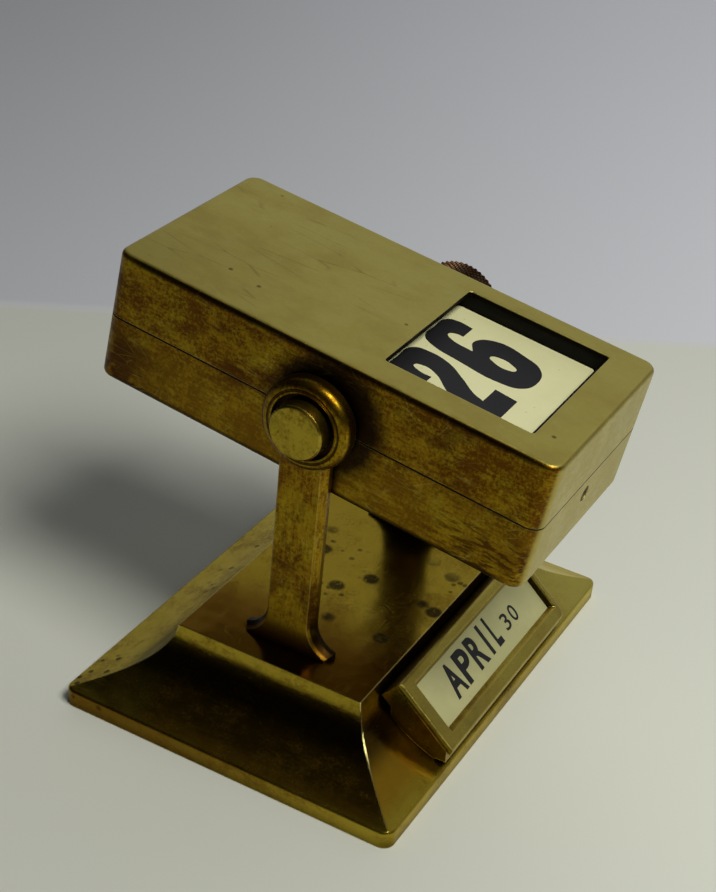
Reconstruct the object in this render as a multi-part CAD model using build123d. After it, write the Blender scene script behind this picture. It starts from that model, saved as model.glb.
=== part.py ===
from build123d import *
import os

# Flip desk calendar, in millimetres.  The origin is at the bottom centre of the base, +Z is up,
# the month frame faces -Y and the knurled knob is on the +X side.

# Base: a weighted brass stand with a flat top and hollow-curved (coved) sides
BASE_W = 102.0
BASE_D = 76.0
BASE_CORNER_R = 2.5
LIP_H = 3.7
LIP_EDGE_R = 0.6
TOP_W = 69.6
TOP_D = 42.6
TOP_H = 17.4
COVE_KNEE_IN = 0.6
COVE_KNEE_Z = 8.6
BASE_WALL = 2.4
SEAT_INSET = 2.6
PAD_T = 1.0
PLATE_T = 1.2
BOSS_R = 2.6
BOSS_X = 39.0
BOSS_Y = 27.0
BOSS_TOP = 6.8

# Case: two equal brass trays that meet at the turning axis
PIVOT_Z = 69.2
TILT = 8.18
CASE_W = 49.36
CASE_L = 96.5
CASE_T = 28.56
CASE_WALL = 1.2
CASE_CORNER_R = 3.0
CASE_EDGE_R = 1.1
SEAM_CHAMFER = 0.15
CHAMBER_X = 0.75
WINDOW_W = 36.7
WINDOW_FRONT = -39.67
WINDOW_BACK = -7.98
WINDOW_R = 0.8

# Day cards and what holds them
DAY_CARDS = 16
FRONT_CARDS = 9
CARD_W = 36.5
CARD_L = 31.4
CARD_T = 2.55
CARD_PITCH = 2.58
CARD_R = 1.0
CARD_FRONT = -37.75
STACK_GAP = 0.05
CHAMBER_W = 37.0
GUIDE_T = 1.1
GUIDE_L = 93.6
GUIDE_FLANGE_L = 86.0
GUIDE_FLANGE_T = 0.8
INSIDE_GAP = 0.1
CORE_L = 11.6
CORE_T = 14.4
STOP_INNER = 37.8
STOP_TOP = 10.6

# Turning axis: pins, washers and knob
PIN_R = 3.5
RUNNING_GAP = 0.05
PIN_INSIDE = 12.5
BUTTON_R = 5.71
BUTTON_FACE = 31.8
KNOB_R = 9.44
KNOB_FACE = 37.6
KNOB_BACK = 30.6
KNOB_HUB_R = 6.2
NECK_R = 2.5
NECK_END = 36.0
WASHER_R = 6.4
WASHER_T = 0.5

# Posts
POST_INNER = 25.3
POST_FACE = 28.3
EYE_FACE = 28.9
EYE_R = 9.6
EYE_ROUND_R = 1.9
RECESS_R = 6.9
RECESS_FLOOR = 27.4
POST_W = 11.0
POST_BEVEL = 1.0
POST_BEVEL_W = 1.7
NECK_FILLET_R = 2.5
FOOT_W = 20.2
FOOT_TIP_H = 1.1
FOOT_FLARE_H = 7.0

# Month frame, measured on its sloping face: v runs up the slope, w stands out of it
MONTH_SLOPE = 40.5
MONTH_Y = -38.4
MONTH_Z = 8.6
MONTH_LEFT = -27.4
MONTH_RIGHT = 28.9
MONTH_H = 16.4
BEZEL_T = 1.3
BEZEL_EDGE_R = 0.7
BEZEL_DROP = 0.8
BEZEL_CORNER_R = 2.0
OPENING_LEFT = -23.0
OPENING_RIGHT = 26.4
OPENING_LOW = 2.9
OPENING_HIGH = 13.6
OPENING_BEVEL = 0.9
POCKET_LEFT = -25.7
POCKET_LOW = 2.0
POCKET_HIGH = 14.6
POCKET_DEPTH = 5.0
HOLDER_BACK = 5.8
SKIRT_Z = 5.0
MONTH_CARDS = 6
MONTH_CARD_L = 52.4
MONTH_CARD_H = 12.2
MONTH_CARD_T = 0.45
MONTH_CARD_PITCH = 0.47

# Fasteners
SCREW_R = 1.2
SCREW_HEAD_R = 2.0
SMALL_SCREW_R = 1.0
SMALL_HEAD_R = 1.6
SLOT_W = 0.45
SLOT_DEPTH = 0.35
POST_SCREW_Y = 3.8
END_SCREW_Z = 4.3
HOLDER_SCREW_X = 16.0
HOLDER_SCREW_V = 10.0


def box(x0, x1, y0, y1, z0, z1):
    """A block between two corners."""
    middle = Pos((x0 + x1) / 2, (y0 + y1) / 2, (z0 + z1) / 2)
    return middle * Box(x1 - x0, y1 - y0, z1 - z0)


def rod_x(radius, x0, x1, y=0.0, z=0.0):
    """A cylinder along X."""
    return Pos((x0 + x1) / 2, y, z) * Rot(0, 90, 0) * Cylinder(radius, abs(x1 - x0))


def rod_y(radius, y0, y1, x=0.0, z=0.0):
    """A cylinder along Y."""
    return Pos(x, (y0 + y1) / 2, z) * Rot(90, 0, 0) * Cylinder(radius, abs(y1 - y0))


def rod_z(radius, z0, z1, x=0.0, y=0.0):
    """A cylinder along Z."""
    return Pos(x, y, (z0 + z1) / 2) * Cylinder(radius, abs(z1 - z0))


def rounded_block(width, depth, radius, z0, z1):
    """An upright block, centred on the origin, with rounded vertical corners."""
    return Pos(0, 0, z0) * extrude(RectangleRounded(width, depth, radius), z1 - z0)


def screw(radius, length, head_r, head_h):
    """A slotted screw along +Z: its head lies below z = 0 and its shank above."""
    body = rod_z(head_r, -head_h, 0) + rod_z(radius, 0, length)
    slot = box(-head_r, head_r, -SLOT_W / 2, SLOT_W / 2, -head_h, SLOT_DEPTH - head_h)
    return body - slot


# Base ------------------------------------------------------------------------------------------

def coved_outline(half, top, foot_z, top_z, knee_z):
    """One side view of a coved block: upright foot, hollow curve, flat top."""
    knee = top + COVE_KNEE_IN
    outline = [
        Bezier((top, top_z), (knee, knee_z), (half, foot_z)),
        Line((half, foot_z), (half, 0)),
        Line((half, 0), (-half, 0)),
        Line((-half, 0), (-half, foot_z)),
        Bezier((-half, foot_z), (-knee, knee_z), (-top, top_z)),
        Line((-top, top_z), (top, top_z)),
    ]
    return make_face(outline)


def coved_block(half_x, half_y, top_x, top_y, foot_z, top_z, knee_z):
    """Two coved side views crossed, so that the hollow curves meet in mitred corners."""
    along_x = extrude(Plane.XZ * coved_outline(half_x, top_x, foot_z, top_z, knee_z), half_y, both=True)
    along_y = extrude(Plane.YZ * coved_outline(half_y, top_y, foot_z, top_z, knee_z), half_x, both=True)
    return along_x & along_y


def base_outside(grow=0.0):
    """The base's outer form, grown all round by a small amount when a gap is wanted."""
    return coved_block(BASE_W / 2 + grow, BASE_D / 2 + grow, TOP_W / 2 + grow, TOP_D / 2 + grow,
                       LIP_H + grow, TOP_H + grow, COVE_KNEE_Z + grow)


def base_hollow():
    """The space inside the base, with a step that the bottom plate seats against."""
    seat_z = PAD_T + PLATE_T
    ledge = SEAT_INSET + BASE_WALL
    hollow = coved_block(BASE_W / 2 - ledge, BASE_D / 2 - ledge, TOP_W / 2 - BASE_WALL,
                         TOP_D / 2 - BASE_WALL, seat_z + 0.4, TOP_H - BASE_WALL,
                         COVE_KNEE_Z - BASE_WALL)
    seat = rounded_block(BASE_W - 2 * SEAT_INSET, BASE_D - 2 * SEAT_INSET, 1.5, 0, seat_z)
    return hollow + seat


def boss_places():
    return [(x, y) for x in (-BOSS_X, BOSS_X) for y in (-BOSS_Y, BOSS_Y)]


def post_screw_places():
    middle = (POST_INNER + POST_FACE) / 2
    return [(side * middle, y) for side in (-1, 1) for y in (-POST_SCREW_Y, POST_SCREW_Y)]


def base_shell():
    outside = base_outside() & rounded_block(BASE_W, BASE_D, BASE_CORNER_R, 0, TOP_H)
    lip_edges = outside.edges().filter_by(GeomType.LINE).filter_by_position(Axis.Z, LIP_H - 0.01, LIP_H + 0.01)
    outside = fillet(lip_edges, LIP_EDGE_R)
    shell = outside - base_hollow()
    for x, y in boss_places():
        shell += rod_z(BOSS_R, PAD_T + PLATE_T, BOSS_TOP, x, y)
        shell -= rod_z(SCREW_R + RUNNING_GAP, PAD_T + PLATE_T, BOSS_TOP - 0.7, x, y)
    for x, y in post_screw_places():
        shell -= rod_z(SCREW_R + RUNNING_GAP, TOP_H - BASE_WALL - 1, TOP_H + 1, x, y)
    for hole in holder_screw_holes():
        shell -= hole
    return shell


def base_plate():
    gap = SEAT_INSET + 0.1
    plate = rounded_block(BASE_W - 2 * gap, BASE_D - 2 * gap, 1.4, PAD_T, PAD_T + PLATE_T)
    for x, y in boss_places():
        plate -= rod_z(SCREW_R + RUNNING_GAP, 0, PAD_T + PLATE_T, x, y)
        plate -= rod_z(SCREW_HEAD_R + 0.1, 0, PAD_T + 0.8, x, y)
    return plate


def base_plate_screws():
    one = screw(SCREW_R, 4.2, SCREW_HEAD_R, 0.7)
    return [Pos(x, y, PAD_T + 0.8) * one for x, y in boss_places()]


def felt_pad():
    gap = SEAT_INSET + 0.1
    return rounded_block(BASE_W - 2 * gap, BASE_D - 2 * gap, 1.4, 0, PAD_T)


# Posts -----------------------------------------------------------------------------------------

def post_outline():
    """Face of a post: bar, round eye and two spreading toes, drawn in Y and Z."""
    half = POST_W / 2
    toe = FOOT_W / 2
    flare_top = TOP_H + FOOT_FLARE_H
    toe_top = TOP_H + FOOT_TIP_H
    spread = toe - half
    rise = flare_top - toe_top
    flare_r = (spread ** 2 + rise ** 2) / (2 * spread)
    foot = [
        Line((-toe, TOP_H), (toe, TOP_H)),
        Line((toe, TOP_H), (toe, toe_top)),
        RadiusArc((toe, toe_top), (half, flare_top), flare_r),
        Line((half, flare_top), (-half, flare_top)),
        RadiusArc((-half, flare_top), (-toe, toe_top), flare_r),
        Line((-toe, toe_top), (-toe, TOP_H)),
    ]
    bar_h = PIVOT_Z - flare_top
    bar = Pos(0, flare_top + bar_h / 2) * Rectangle(POST_W, bar_h)
    eye = Pos(0, PIVOT_Z) * Circle(EYE_R - 0.3)
    outline = make_face(foot) + bar + eye
    neck_z = PIVOT_Z - ((EYE_R - 0.3) ** 2 - half ** 2) ** 0.5
    necks = outline.vertices().filter_by_position(Axis.Y, neck_z - 0.1, neck_z + 0.1)
    return fillet(necks, NECK_FILLET_R)


def post():
    """The right-hand post, from its inner face at +X outward."""
    bar = Pos(POST_INNER, 0, 0) * extrude(Plane.YZ * post_outline(), POST_FACE - POST_INNER)
    face = bar.faces().sort_by(Axis.X)[-1]
    rim = face.edges().filter_by_position(Axis.Z, TOP_H + 0.2, PIVOT_Z + EYE_R)
    bar = chamfer(rim, POST_BEVEL, POST_BEVEL_W, reference=face)
    eye = rod_x(EYE_R, POST_INNER, EYE_FACE, 0, PIVOT_Z)
    eye = fillet(eye.edges().sort_by(Axis.X)[-1], EYE_ROUND_R)
    whole = bar + eye
    whole -= rod_x(RECESS_R, RECESS_FLOOR, EYE_FACE + 1, 0, PIVOT_Z)
    whole -= rod_x(PIN_R + RUNNING_GAP, POST_INNER - 1, EYE_FACE, 0, PIVOT_Z)
    middle = (POST_INNER + POST_FACE) / 2
    for y in (-POST_SCREW_Y, POST_SCREW_Y):
        whole -= rod_z(SCREW_R + RUNNING_GAP, TOP_H - 1, TOP_H + 5, middle, y)
    return whole


def post_screws(side):
    one = screw(SCREW_R, BASE_WALL + 4.5, SCREW_HEAD_R, 1.4)
    x = side * (POST_INNER + POST_FACE) / 2
    return [Pos(x, y, TOP_H - BASE_WALL - 0.02) * one for y in (-POST_SCREW_Y, POST_SCREW_Y)]


# Month frame -----------------------------------------------------------------------------------

def on_slope(piece):
    """Moves a piece drawn as x, v, w onto the sloping face of the month frame."""
    return Pos(0, MONTH_Y, MONTH_Z) * Rot(MONTH_SLOPE, 0, 0) * piece


def holder_screw_holes():
    """Screw holes and flat seats in the front cove, behind the month frame."""
    wall_w = -9.4
    holes = []
    for x in (-HOLDER_SCREW_X, HOLDER_SCREW_X):
        hole = rod_z(SMALL_SCREW_R + RUNNING_GAP, -16, -4, x, HOLDER_SCREW_V)
        seat = rod_z(SMALL_HEAD_R + 0.3, -16, wall_w, x, HOLDER_SCREW_V)
        holes.append(on_slope(hole))
        holes.append(on_slope(seat))
    return holes


def month_holder():
    """Wedge that carries the month cards: its pocket is open at the +X end."""
    width = MONTH_RIGHT - MONTH_LEFT
    block = on_slope(box(MONTH_LEFT, MONTH_RIGHT, 0, MONTH_H, -HOLDER_BACK, -BEZEL_T))
    skirt_front = MONTH_Y + 0.7
    skirt = make_face(Polyline((MONTH_Y + 0.85, MONTH_Z - 0.99), (skirt_front, SKIRT_Z), (-25.0, SKIRT_Z),
                               (-24.5, 12.8), close=True))
    middle = (MONTH_LEFT + MONTH_RIGHT) / 2
    block += Pos(middle, 0, 0) * extrude(Plane.YZ * skirt, width / 2, both=True)
    pocket = box(POCKET_LEFT, MONTH_RIGHT + 1, POCKET_LOW, POCKET_HIGH, -POCKET_DEPTH, 1)
    block -= on_slope(pocket)
    for x in (-HOLDER_SCREW_X, HOLDER_SCREW_X):
        hole = rod_z(SMALL_SCREW_R + RUNNING_GAP, -16, 0.4 - HOLDER_BACK, x, HOLDER_SCREW_V)
        block -= on_slope(hole)
    return block - base_outside(0.05)


def month_bezel():
    """Picture-frame front of the month frame; its lower edge hangs a little over the holder."""
    plate = box(MONTH_LEFT, MONTH_RIGHT, -BEZEL_DROP, MONTH_H, 0.02 - BEZEL_T, 0)
    right_corners = plate.edges().filter_by(Axis.Z).sort_by(Axis.X)[-2:]
    plate = fillet(right_corners.sort_by(Axis.Y)[0], BEZEL_CORNER_R)
    plate = fillet(plate.faces().sort_by(Axis.Z)[-1].edges(), BEZEL_EDGE_R)
    plate -= box(OPENING_LEFT, OPENING_RIGHT, OPENING_LOW, OPENING_HIGH, -BEZEL_T - 1, 1)
    top = plate.faces().filter_by(Axis.Z).sort_by(Axis.Z)[-1]
    rim = top.inner_wires()[0].edges()
    return on_slope(chamfer(rim, OPENING_BEVEL))


def month_cards():
    """Two-sided month cards, one behind the other; the first shows in the frame."""
    cards = []
    low = (POCKET_LOW + POCKET_HIGH - MONTH_CARD_H) / 2
    for number in range(MONTH_CARDS):
        front = -BEZEL_T - 0.05 - number * MONTH_CARD_PITCH
        left = POCKET_LEFT + 0.3
        card = box(left, left + MONTH_CARD_L, low, low + MONTH_CARD_H, front - MONTH_CARD_T, front)
        cards.append(on_slope(card))
    return cards


def month_card_spring():
    """Bowed leaf behind the month cards: it presses them against the frame."""
    floor = -POCKET_DEPTH + 0.03
    crown = -BEZEL_T - 0.05 - MONTH_CARDS * MONTH_CARD_PITCH - 0.05
    thickness = 0.2
    left = POCKET_LEFT + 6
    right = MONTH_RIGHT - 8
    middle = (left + right) / 2
    leaf = make_face([
        ThreePointArc((left, floor), (middle, crown - thickness), (right, floor)),
        Line((right, floor), (right, floor + thickness)),
        ThreePointArc((right, floor + thickness), (middle, crown), (left, floor + thickness)),
        Line((left, floor + thickness), (left, floor)),
    ])
    centre_v = (POCKET_LOW + POCKET_HIGH) / 2
    return on_slope(Pos(0, centre_v, 0) * extrude(Plane.XZ * leaf, 3.5, both=True))


def month_holder_screws():
    one = screw(SMALL_SCREW_R, 9.42 - HOLDER_BACK + 0.3, SMALL_HEAD_R, 1.2)
    return [on_slope(Pos(x, HOLDER_SCREW_V, -9.42) * one) for x in (-HOLDER_SCREW_X, HOLDER_SCREW_X)]


# Case ------------------------------------------------------------------------------------------
# Everything below is drawn level, with the turning axis along X through the origin.

def in_case(piece):
    """Moves a piece drawn around the turning axis into the case, front end tipped down."""
    return Pos(0, 0, PIVOT_Z) * Rot(TILT, 0, 0) * piece


def turned_over(piece):
    """The same piece with the case turned over: the case looks alike either way up."""
    return Rot(180, 0, 0) * piece


def case_tray():
    """Upper tray of the case, open downward, with the window near its front end."""
    tray = rounded_block(CASE_W, CASE_L, CASE_CORNER_R, 0, CASE_T / 2)
    tray = fillet(tray.faces().sort_by(Axis.Z)[-1].edges(), CASE_EDGE_R)
    tray = chamfer(tray.faces().sort_by(Axis.Z)[0].edges(), SEAM_CHAMFER)
    inner_r = CASE_CORNER_R - CASE_WALL
    tray -= rounded_block(CASE_W - 2 * CASE_WALL, CASE_L - 2 * CASE_WALL, inner_r, -1,
                          CASE_T / 2 - CASE_WALL)
    window = rounded_block(WINDOW_W, WINDOW_BACK - WINDOW_FRONT, WINDOW_R, 0, CASE_T)
    tray -= Pos(CHAMBER_X, (WINDOW_FRONT + WINDOW_BACK) / 2, 0) * window
    tray -= rod_x(PIN_R + RUNNING_GAP, -CASE_W, CASE_W)
    end = CASE_L / 2
    tray -= rod_y(SMALL_SCREW_R + RUNNING_GAP, end - 3, end + 1, 0, END_SCREW_Z)
    tray -= rod_y(SMALL_HEAD_R + 0.15, end - 0.7, end + 1, 0, END_SCREW_Z)
    return tray


def guide(side):
    """Channel-shaped side guide that the day cards slide against."""
    web_face = CHAMBER_X + side * CHAMBER_W / 2
    web_back = web_face + side * GUIDE_T
    wall = side * (CASE_W / 2 - CASE_WALL - INSIDE_GAP)
    half_t = CASE_T / 2 - CASE_WALL - INSIDE_GAP
    x0, x1 = sorted((web_face, web_back))
    channel = box(x0, x1, -GUIDE_L / 2, GUIDE_L / 2, -half_t, half_t)
    x0, x1 = sorted((web_back, wall))
    flange = box(x0, x1, -GUIDE_FLANGE_L / 2, GUIDE_FLANGE_L / 2, half_t - GUIDE_FLANGE_T, half_t)
    channel += flange
    channel += turned_over(flange)
    return channel - rod_x(PIN_R + RUNNING_GAP, -CASE_W, CASE_W)


def core_block():
    """Cross block between the two stacks; the pins screw into it."""
    low = CHAMBER_X - CHAMBER_W / 2 + 0.05
    high = CHAMBER_X + CHAMBER_W / 2 - 0.05
    block = box(low, high, -CORE_L / 2, CORE_L / 2, -CORE_T / 2, CORE_T / 2)
    return block - rod_x(PIN_R + RUNNING_GAP, -CASE_W, CASE_W)


def front_stop():
    """End block: it keeps the cards off the end wall and takes the end screw."""
    low = CHAMBER_X - CHAMBER_W / 2 + 0.05
    high = CHAMBER_X + CHAMBER_W / 2 - 0.05
    outer = CASE_L / 2 - CASE_WALL - INSIDE_GAP
    inside = CASE_T / 2 - CASE_WALL - INSIDE_GAP
    block = box(low, high, -outer, -STOP_INNER, -inside, STOP_TOP)
    return block - rod_y(SMALL_SCREW_R + RUNNING_GAP, -outer - 1, -outer + 5.5, 0, -END_SCREW_Z)


def front_end_screw():
    one = screw(SMALL_SCREW_R, 5.5, SMALL_HEAD_R, 0.5)
    return Pos(0, 0.68 - CASE_L / 2, -END_SCREW_Z) * Rot(-90, 0, 0) * one


def day_card(level, back):
    """One two-sided day card at its level in the front stack, or in the back stack."""
    z0 = -(CASE_T / 2 - CASE_WALL) + STACK_GAP + level * CARD_PITCH
    middle = CARD_FRONT + CARD_L / 2
    y = -middle if back else middle
    return Pos(CHAMBER_X, y, 0) * rounded_block(CARD_W, CARD_L, CARD_R, z0, z0 + CARD_T)


def left_pivot():
    """Pin with the plain round button, on the left."""
    button = rod_x(BUTTON_R, -BUTTON_FACE, -RECESS_FLOOR - 0.1)
    button = chamfer(button.edges().sort_by(Axis.X)[0], 0.4)
    return button + rod_x(PIN_R, -RECESS_FLOOR - 0.1, -PIN_INSIDE)


def right_pivot():
    """Pin with the narrower neck that the knob screws onto."""
    return rod_x(PIN_R, PIN_INSIDE, KNOB_BACK - 2.4) + rod_x(NECK_R, KNOB_BACK - 2.4, NECK_END)


def knob():
    drum = rod_x(KNOB_R, KNOB_BACK, KNOB_FACE)
    drum = chamfer(drum.edges().filter_by(GeomType.CIRCLE), 0.5)
    hub = rod_x(KNOB_HUB_R, KNOB_BACK - 2.35, KNOB_BACK)
    return drum + hub - rod_x(NECK_R + 0.02, KNOB_BACK - 4, NECK_END + 0.2)


def washer(side):
    inner = CASE_W / 2 + 0.05
    x0, x1 = sorted((side * inner, side * (inner + WASHER_T)))
    return rod_x(WASHER_R, x0, x1) - rod_x(PIN_R + RUNNING_GAP, x0 - 1, x1 + 1)


def spring_washer():
    """Dished washer under the knob: its grip holds the case at any angle."""
    bore = PIN_R + RUNNING_GAP
    outer = KNOB_HUB_R
    low = RECESS_FLOOR + 0.05
    section = make_face(Polyline((bore, low + 0.3), (outer, low), (outer, low + 0.35), (bore, low + 0.65),
                                 close=True))
    ring = revolve(Plane.XZ * section, Axis.Z)
    return Rot(0, 90, 0) * ring


# Parts -----------------------------------------------------------------------------------------

def numbered(name, pieces, digits):
    return {name + "_" + str(number).zfill(digits): piece for number, piece in enumerate(pieces, 1)}


def stand_parts():
    right = post()
    parts = {
        "base_shell": base_shell(),
        "base_plate": base_plate(),
        "base_plate_screws": base_plate_screws(),
        "felt_pad": felt_pad(),
        "left_post": mirror(right, Plane.YZ),
        "right_post": right,
        "left_post_screws": post_screws(-1),
        "right_post_screws": post_screws(1),
        "month_holder": month_holder(),
        "month_bezel": month_bezel(),
        "month_holder_screws": month_holder_screws(),
        "month_card_spring": month_card_spring(),
    }
    parts.update(numbered("month_card", month_cards(), 1))
    return parts


def case_parts():
    tray = case_tray()
    stop = front_stop()
    end_screw = front_end_screw()
    level = {
        "case_upper": tray,
        "case_lower": turned_over(tray),
        "left_guide": guide(-1),
        "right_guide": guide(1),
        "core_block": core_block(),
        "front_stop": stop,
        "back_stop": turned_over(stop),
        "front_end_screw": end_screw,
        "back_end_screw": turned_over(end_screw),
        "left_pivot": left_pivot(),
        "right_pivot": right_pivot(),
        "knob": knob(),
        "left_washer": washer(-1),
        "right_washer": washer(1),
        "spring_washer": spring_washer(),
    }
    front = [day_card(number, False) for number in range(FRONT_CARDS)]
    back = [day_card(number, True) for number in range(DAY_CARDS - FRONT_CARDS)]
    level.update(numbered("day_card", front + back, 2))
    return {name: in_case(piece) for name, piece in level.items()}


def save(name, piece):
    solids = piece if isinstance(piece, list) else piece.solids()
    export_step(Compound(children=list(solids)), "parts/" + name + ".step")


os.makedirs("parts", exist_ok=True)
for part_name, part_shape in {**stand_parts(), **case_parts()}.items():
    save(part_name, part_shape)
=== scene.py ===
import math

import bpy
from mathutils import Matrix, Vector

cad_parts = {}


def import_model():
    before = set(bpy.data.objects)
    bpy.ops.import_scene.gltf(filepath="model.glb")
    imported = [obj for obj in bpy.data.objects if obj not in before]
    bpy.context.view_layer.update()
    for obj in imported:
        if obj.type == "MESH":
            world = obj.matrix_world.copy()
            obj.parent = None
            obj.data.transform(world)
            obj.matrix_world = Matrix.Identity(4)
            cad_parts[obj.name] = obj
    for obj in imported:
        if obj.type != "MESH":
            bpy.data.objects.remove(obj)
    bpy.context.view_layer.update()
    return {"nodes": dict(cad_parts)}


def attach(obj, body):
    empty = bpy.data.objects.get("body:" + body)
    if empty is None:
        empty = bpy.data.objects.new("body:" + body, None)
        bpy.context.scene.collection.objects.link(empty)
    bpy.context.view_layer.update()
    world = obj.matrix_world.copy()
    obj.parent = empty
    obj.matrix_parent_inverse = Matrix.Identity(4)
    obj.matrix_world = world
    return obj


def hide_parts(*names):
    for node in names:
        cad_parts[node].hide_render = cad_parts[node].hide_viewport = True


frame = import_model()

# Lengths are in millimetres, and MM turns them into the scene's metres. The light and the camera
# are placed in metres.
MM = 0.001

# The case and the month frame have axes of their own, as they have in the CAD
EYE_HEIGHT = 69.2
PIVOT = Vector((0, 0, EYE_HEIGHT))
CASE_TILT = math.radians(8.18)
MONTH_ORIGIN = Vector((0, -38.4, 8.6))
MONTH_SLOPE = math.radians(40.5)
LEVEL = Matrix.Identity(4)
IN_CASE = Matrix.Translation(PIVOT) @ Matrix.Rotation(CASE_TILT, 4, "X")
ON_SLOPE = Matrix.Translation(MONTH_ORIGIN) @ Matrix.Rotation(MONTH_SLOPE, 4, "X")
TURNED_OVER = Matrix.Rotation(math.pi, 4, "X")

# Places on the case, from its middle
CASE_TOP = 14.28
CASE_END = 48.25
CASE_SIDE = 24.68
WINDOW_X = 0.75
WINDOW_Y = -23.825
WINDOW_HALF_W = 18.35
WINDOW_HALF_L = 15.845

# Places on the stand and the month frame
PLATEAU_Z = 17.4
PLATEAU_BACK = 21.3
HOLLOW_Z = 10.6
LIP_Z = 3.7
BASE_HALF_W = 51.0
BASE_HALF_D = 38.0
OPENING_RIGHT = 26.4
OPENING_MIDDLE = 8.25
OPENING_HALF_H = 5.35

# Places on the posts, from the middle of their eyes
POST_FOOT_Z = PLATEAU_Z - EYE_HEIGHT
POST_FACE = 28.3
EYE_FACE = 28.9
EYE_GROOVE_R = 7.6
RECESS_R = 6.9

# How fast the wave of the turned pins' tool marks runs, in radians for each millimetre of radius
TOOL_MARKS = 14.0

DAY_CARDS = 16
MONTH_CARDS = 6

# Colours, linear
BRIGHT_GOLD = (0.86, 0.76, 0.30)
GOLD = (0.62, 0.50, 0.12)
OLIVE_GOLD = (0.54, 0.46, 0.105)
CLEAN_BRASS = (0.40, 0.295, 0.030)
OLD_GOLD = (0.30, 0.18, 0.008)
BROWN = (0.125, 0.048, 0.003)
RED_BROWN = (0.055, 0.016, 0.003)
DARK = (0.010, 0.005, 0.002)
GREEN_GOLD = (0.33, 0.25, 0.012)
SHADED_GOLD = (0.27, 0.20, 0.03)
COVE_BROWN = (0.33, 0.18, 0.012)
SPOT = (0.018, 0.012, 0.004)
RUST = (0.10, 0.05, 0.02)
EDGE_TINT = (1.0, 0.93, 0.70)
BRONZE = (0.10, 0.058, 0.030)
STEEL = (0.36, 0.34, 0.31)
SPRING_STEEL = (0.26, 0.25, 0.24)
CREAM = (0.76, 0.745, 0.42)
CREAM_SHADE = (0.64, 0.60, 0.30)
# The month card stock is darker and yellower than the day cards; part of the darkening is painted shade
# from the case above.
MONTH_CREAM_SHADED = (0.45, 0.44, 0.205)
INK = (0.009, 0.009, 0.011)
THIN_INK = (0.035, 0.034, 0.033)
FELT = (0.035, 0.05, 0.03)
FELT_FIBRE = (0.075, 0.09, 0.06)
BLACK = (0.010, 0.009, 0.008)
LACQUER = (0.004, 0.004, 0.004)
FLOOR = (0.86, 0.88, 0.78)
FLOOR_SHADE = (0.68, 0.70, 0.62)
BACKDROP = (0.84, 0.85, 0.91)
BACKDROP_SHADE = (0.58, 0.59, 0.63)

# Sockets of Blender's Mix node when it mixes colours
MIX_A = 6
MIX_B = 7
MIX_RESULT = 2


# Materials -------------------------------------------------------------------------------------

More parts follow.
